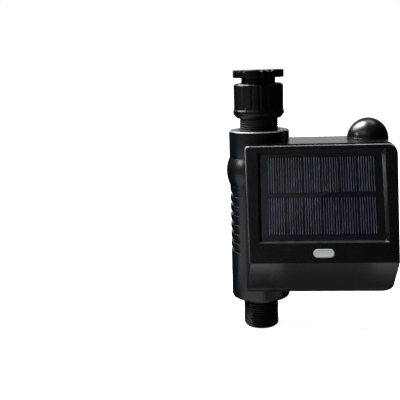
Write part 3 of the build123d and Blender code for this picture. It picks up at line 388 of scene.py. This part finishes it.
def metal(name, base, rough=(0.2, 0.36), stretch=(1.0, 1.0, 26.0), plated=False):
    """Metal with drawn or turned marks, slight tarnish and bright rubbed edges."""
    mat, nt, bsdf, vec, out = new_material(name)
    slow = noise(nt, vec, 160.0, 5.0, 0.6)
    lines = noise(nt, vec, 900.0, 2.0, 0.5, stretch=stretch)
    tarnish = tuple(c * 0.62 for c in base)
    tone = mix_colour(nt, remap(nt, slow, 0.3, 0.75, 0.0, 0.55), base, tarnish)
    mask, rounded = edge_mask(nt, 0.00015)
    bright = tuple(min(1.0, c * 1.15) for c in base)
    nt.links.new(mix_colour(nt, mask, tone, bright), bsdf.inputs["Base Color"])
    rr = remap(nt, lines, 0.3, 0.7, rough[0], rough[1])
    nt.links.new(rr, bsdf.inputs["Roughness"])
    bsdf.inputs["Metallic"].default_value = 1.0
    nt.links.new(bump(nt, lines, 0.12 if plated else 0.35, 0.000006, rounded), bsdf.inputs["Normal"])
    return mat


def circuit(name, base):
    """Solder mask over tracks: brighter, raised lines on a grid, with tinned pads here and there."""
    mat, nt, bsdf, vec, out = new_material(name)
    sep = nt.nodes.new("ShaderNodeSeparateXYZ")
    nt.links.new(vec, sep.inputs[0])

    def lines(axis, scale):
        f = maths(nt, "FRACT", maths(nt, "MULTIPLY", sep.outputs[axis], scale))
        d = maths(nt, "ABSOLUTE", maths(nt, "SUBTRACT", f, 0.5))
        return maths(nt, "LESS_THAN", d, 0.13)

    cell = nt.nodes.new("ShaderNodeTexVoronoi")
    cell.inputs["Scale"].default_value = 150.0
    nt.links.new(vec, cell.inputs["Vector"])
    pick = maths(nt, "GREATER_THAN", noise(nt, vec, 120.0, 0.0), 0.5)
    across = maths(nt, "MULTIPLY", lines("X", 620.0), pick)
    down = maths(nt, "MULTIPLY", lines("Z", 620.0), maths(nt, "SUBTRACT", 1.0, pick))
    tracks = maths(nt, "MAXIMUM", across, down)
    pads = maths(nt, "LESS_THAN", cell.outputs["Distance"], 0.10)
    lit = tuple(min(1.0, c * 1.9) for c in base)
    tone = mix_colour(nt, remap(nt, noise(nt, vec, 60.0), 0.3, 0.7, 0.0, 1.0), base, tuple(c * 0.75 for c in base))
    tone = mix_colour(nt, tracks, tone, lit)
    nt.links.new(mix_colour(nt, pads, tone, (0.62, 0.6, 0.55)), bsdf.inputs["Base Color"])
    nt.links.new(remap(nt, pads, 0.0, 1.0, 0.24, 0.36), bsdf.inputs["Roughness"])
    nt.links.new(bump(nt, tracks, 0.6, 0.00004), bsdf.inputs["Normal"])
    return mat


def cell_silicon(name):
    """Dark navy silicon: tone shifts from strip to strip, with a slightly mottled, glossy surface."""
    mat, nt, bsdf, vec, out = new_material(name)
    bands = noise(nt, vec, 30.0, 2.0, 0.5, stretch=(9.0, 0.6, 0.6))
    fleck = noise(nt, vec, 900.0, 3.0, 0.6)
    tone = mix_colour(nt, remap(nt, bands, 0.3, 0.7, 0.0, 1.0), (0.0016, 0.0019, 0.0068), (0.0034, 0.0042, 0.0140))
    nt.links.new(mix_colour(nt, remap(nt, fleck, 0.5, 0.8, 0.0, 0.35), tone, (0.007, 0.009, 0.022)), bsdf.inputs["Base Color"])
    nt.links.new(remap(nt, fleck, 0.3, 0.7, 0.28, 0.42), bsdf.inputs["Roughness"])
    bsdf.inputs["Specular IOR Level"].default_value = 0.15
    nt.links.new(bump(nt, fleck, 0.08, 0.000004), bsdf.inputs["Normal"])
    return mat


def clear_potting(name):
    """Clear resin over the cells: see-through, with a soft gloss that grows at a slant."""
    mat, nt, bsdf, vec, out = new_material(name)
    nt.nodes.remove(bsdf)
    clear = nt.nodes.new("ShaderNodeBsdfTransparent")
    clear.inputs["Color"].default_value = (0.93, 0.95, 0.97, 1.0)
    gloss = nt.nodes.new("ShaderNodeBsdfGlossy")
    gloss.inputs["Color"].default_value = (1.0, 1.0, 1.0, 1.0)
    nt.links.new(remap(nt, noise(nt, vec, 70.0, 4.0), 0.3, 0.7, 0.08, 0.13), gloss.inputs["Roughness"])
    ripple = bump(nt, noise(nt, vec, 45.0, 2.0), 0.10, 0.0001)
    nt.links.new(ripple, gloss.inputs["Normal"])
    fres = nt.nodes.new("ShaderNodeFresnel")
    fres.inputs["IOR"].default_value = 1.48
    nt.links.new(ripple, fres.inputs["Normal"])
    mixer = nt.nodes.new("ShaderNodeMixShader")
    nt.links.new(fres.outputs["Fac"], mixer.inputs["Fac"])
    nt.links.new(clear.outputs["BSDF"], mixer.inputs[1])
    nt.links.new(gloss.outputs["BSDF"], mixer.inputs[2])
    nt.links.new(mixer.outputs["Shader"], out.inputs["Surface"])
    return mat


LOOKS = {
    # black plastic's rim colour is a painted highlight on its rims that face up or left
    "black_plastic": moulded("look_black_plastic", (0.0024, 0.0028, 0.0035), rough=(0.24, 0.295), scuffs=0.07, worn=(0.02, 0.021, 0.023), rim=(0.34, 0.355, 0.375)),
    "black_plastic_fine": moulded("look_black_fine", (0.0013, 0.0014, 0.0017), rough=(0.24, 0.32), grain=3200.0, worn=(0.008, 0.0083, 0.0092), spec=0.28),
    "gloss_black": moulded("look_gloss_black", (0.0035, 0.0036, 0.004), rough=(0.26, 0.29), grain=900.0, grain_depth=0.0000004, coat=0.4, coat_rough=0.22),
    "panel_glass": clear_potting("look_potting"),
    "solar_blue": cell_silicon("look_cells"),
    "panel_back": moulded("look_panel_back", (0.0120, 0.0130, 0.0152), rough=(0.4, 0.55), grain=1600.0, worn=(0.02, 0.021, 0.023)),
    "light_key": moulded("look_light_key", (0.475, 0.505, 0.512), rough=(0.45, 0.6), grain=1400.0, spread=0.06, worn=(0.56, 0.58, 0.585), spec=0.4),
    "rubber_black": rubber("look_rubber", (0.012, 0.012, 0.012)),
    "ptfe_white": moulded("look_ptfe", (0.78, 0.78, 0.76), rough=(0.4, 0.5), spread=0.05, worn=(0.86, 0.86, 0.85), spec=0.35),
    "inner_plastic": moulded("look_acetal", (0.66, 0.66, 0.62), rough=(0.33, 0.45), spread=0.06, worn=(0.8, 0.8, 0.78)),
    "brass_ball": metal("look_brass", (0.76, 0.58, 0.29), stretch=(26.0, 1.0, 1.0)),
    "steel": metal("look_steel", (0.56, 0.56, 0.57)),
    "chrome_ball": metal("look_chrome", (0.78, 0.79, 0.8), rough=(0.04, 0.1), stretch=(8.0, 1.0, 1.0), plated=True),
    "board_green": circuit("look_board", (0.018, 0.10, 0.045)),
    "component_black": moulded("look_component", (0.014, 0.014, 0.015), rough=(0.45, 0.6), grain=2000.0),
    "connector_white": moulded("look_nylon", (0.72, 0.69, 0.6), rough=(0.4, 0.52), spread=0.05, worn=(0.82, 0.8, 0.74)),
    "cell_wrap": moulded("look_cell_wrap", (0.05, 0.17, 0.4), rough=(0.22, 0.32), spread=0.12, grain=900.0, worn=(0.2, 0.35, 0.6)),
    "lead_red": rubber("look_lead_red", (0.34, 0.022, 0.016)),
    "lead_dark": rubber("look_lead_dark", (0.02, 0.02, 0.02)),
    "led_clear": moulded("look_led", (0.7, 0.7, 0.58), rough=(0.12, 0.2), spread=0.08, coat=0.5),
}
FINGER = moulded("look_cell_lines", (0.52, 0.54, 0.61), rough=(0.38, 0.5), grain=2600.0, grain_depth=0.000004, spread=0.18, worn=(0.58, 0.60, 0.66))

slot_of = {p["node"]: p["material_slot"] for p in frame["record"]["subparts"]}


def dress(ob, slot):
    ob.data.materials.clear()
    ob.data.materials.append(LOOKS[slot])


for name, ob in nodes.items():
    look = LOOKS[slot_of[name]]
    if not ob.material_slots:
        ob.data.materials.append(look)
    for s in ob.material_slots:
        s.material = look


def stands_for(ob, node, body):
    dress(ob, slot_of[node])
    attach(ob, body)
    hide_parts(node)


# ---------------------------------------------------------------- inlet adapter
def inlet_change(r, h, a):
    slot = notch_wave(a)
    if h > 67.0 and r > 12.6:
        edge = smooth01((r - 16.4) / 1.4)
        r -= 0.72 * slot * edge
        up = smooth01((h - 71.8) / 1.0) * smooth01((r - 12.6) / 0.9)
        h -= 1.05 * slot * up
    if r < 10.6 and 59.6 < h < 72.6:
        run = min(smooth01((h - 59.6) / 1.6), smooth01((72.6 - h) / 1.2))
        r += 1.08 * run * (1.0 - thread_wave(h, a))
    return r, h


adapter = softened([
    (9.32, 73.2, 0.35), (12.6, 73.2), (18.0, 73.2, 0.2), (18.3, 72.8, 0.2), (18.3, 68.1, 0.3), (17.9, 67.7, 0.2), (12.3, 67.7, 0.25),
    (12.3, 63.4, 0.2), (13.2, 62.6, 0.1), (13.2, 51.0, 0.1), (12.4, 50.0), (6.5, 50.0, 0.2), (6.5, 57.0), (9.8, 57.0), (9.8, 59.0), (9.32, 59.4),
], steps=4)
adapter = [(min(r, 18.3), min(h, 73.2)) for r, h in adapter]
inlet = lathe("inlet_adapter_form", refined(adapter, 0.30), seg=360, change=inlet_change, sharp_deg=50)
stands_for(inlet, "inlet_adapter", "inlet")


# ---------------------------------------------------------------- coupling nut
def nut_change(r, h, a):
    slot = slot_wave(a, 20, math.radians(3.0), 2.3, 1.5)
    if r > 16.0 and h > 44.6:
        fade = smooth01((h - 45.4) / 1.4) * smooth01((63.2 - h) / 1.6)
        r -= 0.42 * slot * fade * smooth01((r - 16.0) / 1.2)
    return r, h


nut_outline = softened([
    (13.25, 63.8, 0.2), (16.6, 63.8, 0.9), (17.96, 62.5, 1.1), (17.96, 45.1, 0.5), (18.55, 44.2, 0.3), (18.55, 42.2, 0.45),
    (17.9, 41.2, 0.5), (16.6, 39.6, 0.4), (16.0, 39.0, 0.3), (11.66, 39.0, 0.2), (11.66, 43.0), (13.25, 43.0),
], steps=5)
nut = lathe("coupling_nut_form", refined(nut_outline, 1.1), seg=360, change=nut_change, sharp_deg=45)
stands_for(nut, "coupling_nut", "nut")

# ---------------------------------------------------------------- collar with the ringed neck
collar = [(8.0, 47.0, 0.2), (9.6, 47.0), (9.6, 48.0), (11.2, 48.0, 0.2), (11.6, 47.6, 0.1), (11.6, 44.9), (10.7, 44.9), (10.7, 43.1), (11.6, 43.1), (11.6, 38.8, 0.1), (13.6, 38.8, 0.2)]
level = 38.8
for k in range(5):
    collar += [(13.96, level - 0.28, 0.18), (13.96, level - 0.98, 0.18), (13.52, level - 1.22, 0.14), (13.52, level - 1.48, 0.14)]
    level -= 1.6
collar += [(13.96, 30.5, 0.2), (13.96, 30.2, 0.3), (21.1, 30.2, 0.6), (22.0, 29.3, 0.8), (22.0, 10.3, 0.25), (16.9, 10.3), (16.9, 8.6), (15.4, 8.6), (15.4, 6.8), (16.9, 6.8),
           (16.9, 4.4), (13.5, 4.4), (13.5, 8.8), (12.5, 8.8), (12.5, 12.0), (8.0, 12.0)]
upper = lathe("upper_body_form", softened(collar, steps=4), seg=256, sharp_deg=40)
stands_for(upper, "upper_body", "timer")


# ---------------------------------------------------------------- threaded outlet
def outlet_change(r, h, a):
    if r > 11.9 and -119.2 < h < -96.3:
        run = min(smooth01((-96.4 - h) / 1.5), smooth01((h + 119.1) / 1.1))
        r -= 1.16 * run * (1.0 - thread_wave(h, a))
    return r, h


spigot = softened([
    (8.0, -91.0), (12.03, -91.0), (12.03, -84.6), (16.5, -84.6), (16.5, -93.2), (12.92, -93.2), (12.92, -96.3), (13.22, -96.35),
    (13.22, -118.5), (11.72, -120.0, 0.35), (8.0, -120.0, 0.4),
], steps=4)
outlet = lathe("outlet_spigot_form", refined(spigot, 0.20), seg=300, change=outlet_change, sharp_deg=60)
stands_for(outlet, "outlet_spigot", "timer")

# ---------------------------------------------------------------- button: domed rim, fine step and a slightly hollow middle
L_BTN, W_BTN, U_BTN = 13.9, 5.64, 6.76
cap_loops = []
for extra_l, extra_w, inset, depth in ((2.6, 2.4, 0.0, -3.06), (2.6, 2.4, 0.0, -2.2), (2.6, 2.4, 0.14, -2.06)):
    cap_loops.append(pill_loop(L_BTN + extra_l, W_BTN + extra_w, inset, U_BTN, depth))
for inset, depth in ((0.0, -2.06), (0.0, -1.2), (0.0, -0.15), (0.03, 0.0), (0.10, 0.15), (0.22, 0.27), (0.36, 0.335), (0.52, 0.35), (0.86, 0.345),
                     (0.95, 0.30), (1.02, 0.25), (1.10, 0.24), (1.40, 0.24), (1.90, 0.225), (2.35, 0.215)):
    cap_loops.append(pill_loop(L_BTN, W_BTN, inset, U_BTN, depth))
cap = rings_mesh("button_cap_form", cap_loops, sharp_deg=55)
post_loops = []
for r, depth in ((1.45, -4.0), (1.6, -3.85), (1.6, -3.0)):
    post_loops.append([on_face(r * math.cos(2 * math.pi * k / 38), U_BTN + r * math.sin(2 * math.pi * k / 38), depth) for k in range(38)])
cap = joined("button_cap_form", [cap, rings_mesh("button_post", post_loops)])
stands_for(cap, "button_cap", "button")

# ---------------------------------------------------------------- solar cells, their silver lines and the clear potting
TOP = -3.0
cells = []
PER_CELL, N_CELLS = 7, 6
CELL_W = (CELL_X1 - CELL_X0) / N_CELLS
for u0, u1 in CELL_ROWS:
    for k in range(N_CELLS):
        x0 = CELL_X0 + CELL_W * k + (0.12 if k else 0.0)
        x1 = CELL_X0 + CELL_W * (k + 1) - (0.12 if k < N_CELLS - 1 else 0.0)
        loops = [rect_loop(x0, x1, u0, u1, -3.3, 0.2), rect_loop(x0, x1, u0, u1, TOP - 0.04, 0.2),
                 rect_loop(x0 + 0.04, x1 - 0.04, u0 + 0.04, u1 - 0.04, TOP, 0.18)]
        cells.append(rings_mesh("cell", loops, sharp_deg=30))
cells = joined("solar_cells_form", cells)
stands_for(cells, "solar_cells", "timer")

LINE_PITCH = 1.68
rng = random.Random(11)
verts, faces = [], []
for u0, u1 in CELL_ROWS:
    for k in range(N_CELLS):
        first = CELL_X0 + CELL_W * (k + 0.5) - LINE_PITCH * (PER_CELL - 1) / 2
        for j in range(PER_CELL):
            x = first + LINE_PITCH * j + rng.uniform(-0.05, 0.05)
            w = 0.20 + rng.uniform(-0.05, 0.04)
            base = len(verts)
            for u in (u0 + 0.35, u1 - 0.35):
                for dx, dn in ((-w, TOP - 0.01), (-w * 0.8, TOP + 0.035), (w * 0.8, TOP + 0.035), (w, TOP - 0.01)):
                    verts.append(on_face(x + dx, u, dn))
            faces += [(base + i, base + (i + 1) % 4, base + 4 + (i + 1) % 4, base + 4 + i) for i in range(4)]
            faces += [(base, base + 1, base + 2, base + 3), (base + 7, base + 6, base + 5, base + 4)]
lines_ob = make_mesh("cell_lines", verts, faces, 30)
lines_ob.data.materials.append(FINGER)
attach(lines_ob, "timer")

edge = 0.05
potting_loops = [
    rect_loop(-SUN_X + edge, SUN_X - edge, SUN_U0 + edge, SUN_U1 - edge, -2.93, 0.3),
    rect_loop(-SUN_X + edge, SUN_X - edge, SUN_U0 + edge, SUN_U1 - edge, -2.62, 0.3),
    rect_loop(-SUN_X + edge + 0.05, SUN_X - edge - 0.05, SUN_U0 + edge + 0.05, SUN_U1 - edge - 0.05, -2.54, 0.3),
    rect_loop(-SUN_X + edge + 0.18, SUN_X - edge - 0.18, SUN_U0 + edge + 0.18, SUN_U1 - edge - 0.18, -2.5, 0.3),
]
potting = rings_mesh("panel_cover_form", potting_loops, sharp_deg=50)
stands_for(potting, "panel_cover", "timer")

# ---------------------------------------------------------------- stage, light and camera
FLOOR = (ZB - 120.0) / 1000.0 - 0.0003
floor_me = bpy.data.meshes.new("floor")
floor_me.from_pydata([(-9, -9, FLOOR), (9, -9, FLOOR), (9, 9, FLOOR), (-9, 9, FLOOR)], [], [(0, 1, 2, 3)])
floor = bpy.data.objects.new("floor", floor_me)
bpy.context.scene.collection.objects.link(floor)
fmat, fnt, fb, fvec, fout = new_material("floor_pale")
fnt.links.new(mix_colour(fnt, remap(fnt, noise(fnt, fvec, 3.0), 0.3, 0.7, 0.0, 1.0), (0.93, 0.93, 0.93), (0.95, 0.95, 0.95)), fb.inputs["Base Color"])
fb.inputs["Roughness"].default_value = 0.9
fb.inputs["Specular IOR Level"].default_value = 0.1
floor.data.materials.append(fmat)
floor.visible_glossy = False
floor.visible_diffuse = False
floor.visible_shadow = False
fb.inputs["Emission Color"].default_value = (1, 1, 1, 1)
fb.inputs["Emission Strength"].default_value = 0.85

world = bpy.data.worlds.new("studio")
bpy.context.scene.world = world
world.use_nodes = True
wn = world.node_tree
wn.nodes.clear()
w_coord = wn.nodes.new("ShaderNodeTexCoord")
w_sep = wn.nodes.new("ShaderNodeSeparateXYZ")
wn.links.new(w_coord.outputs["Generated"], w_sep.inputs[0])


def ramp(axis, a0, a1, b0=0.0, b1=1.0):
    """Smooth step of the direction's x, y or z."""
    r = wn.nodes.new("ShaderNodeMapRange")
    r.interpolation_type = "SMOOTHSTEP"
    for key, v in (("From Min", a0), ("From Max", a1), ("To Min", b0), ("To Max", b1)):
        r.inputs[key].default_value = v
    wn.links.new(w_sep.outputs[axis], r.inputs["Value"])
    return r.outputs["Result"]


def times(*terms):
    out = terms[0]
    for t in terms[1:]:
        out = maths(wn, "MULTIPLY", out, t)
    return out


# a strip low behind, a broad soft wall to the left, a soft glow in front and above, and faint ones under and low behind
strip_back = times(ramp("Y", 0.45, 0.8), ramp("Z", 0.02, 0.10), ramp("Z", 0.42, 0.24), ramp("X", -0.50, -0.24), ramp("X", 0.60, 0.34), 0.90)
wall_left = times(ramp("X", 0.45, -1.0), ramp("Y", 0.10, -0.02), ramp("Z", -0.62, -0.35), ramp("Z", 0.30, 0.10), 0.165)
glow_front = times(ramp("Y", -0.45, -0.75), ramp("Z", 0.22, 0.40), ramp("Z", 0.85, 0.62), ramp("X", 0.26, -0.16), 0.17)
glow_under = times(ramp("Z", -0.55, -0.85), 0.07)
glow_low_back = times(ramp("Y", 0.86, 0.96), ramp("Z", 0.0, -0.10), ramp("X", 0.06, -0.10), 0.07)
w_level = 0.004
for term in (strip_back, wall_left, glow_front, glow_under, glow_low_back):
    w_level = maths(wn, "ADD", term, w_level)
bg_lit = wn.nodes.new("ShaderNodeBackground")
bg_lit.inputs["Color"].default_value = (0.94, 0.97, 1.0, 1)
wn.links.new(w_level, bg_lit.inputs["Strength"])
bg_seen = wn.nodes.new("ShaderNodeBackground")
bg_seen.inputs["Color"].default_value = (1, 1, 1, 1)
bg_seen.inputs["Strength"].default_value = 1.0
w_path = wn.nodes.new("ShaderNodeLightPath")
w_shader = wn.nodes.new("ShaderNodeMixShader")
w_out = wn.nodes.new("ShaderNodeOutputWorld")
wn.links.new(w_path.outputs["Is Camera Ray"], w_shader.inputs[0])
wn.links.new(bg_lit.outputs[0], w_shader.inputs[1])
wn.links.new(bg_seen.outputs[0], w_shader.inputs[2])
wn.links.new(w_shader.outputs[0], w_out.inputs["Surface"])


def softbox(name, centre, target, size, radiance, colour=(1, 1, 1)):
    data = bpy.data.lights.new(name, "AREA")
    data.shape = "RECTANGLE"
    data.size, data.size_y = size
    data.energy = math.pi * size[0] * size[1] * radiance
    data.color = colour
    ob = bpy.data.objects.new(name, data)
    bpy.context.scene.collection.objects.link(ob)
    ob.location = centre
    ob.rotation_mode = "QUATERNION"
    ob.rotation_quaternion = (Vector(target) - Vector(centre)).to_track_quat("-Z", "Y")
    return ob


key = bpy.data.objects.new("key", bpy.data.lights.new("key", "SUN"))
bpy.context.scene.collection.objects.link(key)
key.data.energy = 2.4
key.data.angle = math.radians(34)
key.rotation_mode = "QUATERNION"
key.rotation_quaternion = Vector((0.40, -0.24, -0.885)).to_track_quat("-Z", "Y")
aim = (0.03, -0.02, -0.09)
softbox("overhead_left", (-0.50, 0.24, 0.80), aim, (0.66, 1.0), 11.0)
softbox("overhead_right", (0.30, 0.34, 0.95), aim, (0.62, 0.40), 2.2)
softbox("front_high", (-0.52, -0.66, 0.56), aim, (0.62, 0.20), 1.6)
softbox("left_low", (-0.88, -0.17, 0.32), aim, (0.26, 0.17), 16.0)
# cards that lie low and light the chin and the sleeve's foot from below
for name, x0, x1, y0, y1, level in (("card_left", -0.62, -0.13, -0.30, 0.01, 0.85), ("card_chin_left", -0.10, 0.015, -0.30, -0.028, 0.95),
                                    ("card_chin_mid", 0.015, 0.085, -0.30, -0.032, 0.22), ("card_chin_right", 0.085, 0.20, -0.30, -0.026, 0.55)):
    centre = ((x0 + x1) / 2, (y0 + y1) / 2, FLOOR + 0.001)
    softbox(name, centre, (centre[0], centre[1], 1.0), (x1 - x0, y1 - y0), level, (0.92, 0.98, 1.07))
# a fill that only the matt part of each surface takes up
fill = softbox("fill", (-0.25, -1.1, 0.25), aim, (0.5, 0.5), 4.3)
fill.visible_glossy = False

camera = bpy.data.objects.new("camera", bpy.data.cameras.new("camera"))
bpy.context.scene.collection.objects.link(camera)
psi, pitch_down, roll = math.radians(4.761), math.radians(11.409), math.radians(-1.824)
fwd = Vector((-math.sin(psi) * math.cos(pitch_down), math.cos(psi) * math.cos(pitch_down), -math.sin(pitch_down)))
right0 = Vector((math.cos(psi), math.sin(psi), 0.0))
up0 = right0.cross(fwd)
right = right0 * math.cos(roll) + up0 * math.sin(roll)
up = up0 * math.cos(roll) - right0 * math.sin(roll)
camera.matrix_world = Matrix((
    (right.x, up.x, -fwd.x, -0.003455),
    (right.y, up.y, -fwd.y, -0.498345),
    (right.z, up.z, -fwd.z, 0.005679),
    (0, 0, 0, 1),
))
camera.data.sensor_width = 36.0
camera.data.lens = 60.86
camera.data.clip_start, camera.data.clip_end = 0.01, 50.0
bpy.context.scene.camera = camera
bpy.context.scene.view_settings.view_transform = "Standard"
bpy.context.scene.view_settings.look = "None"

bpy.context.view_layer.update()
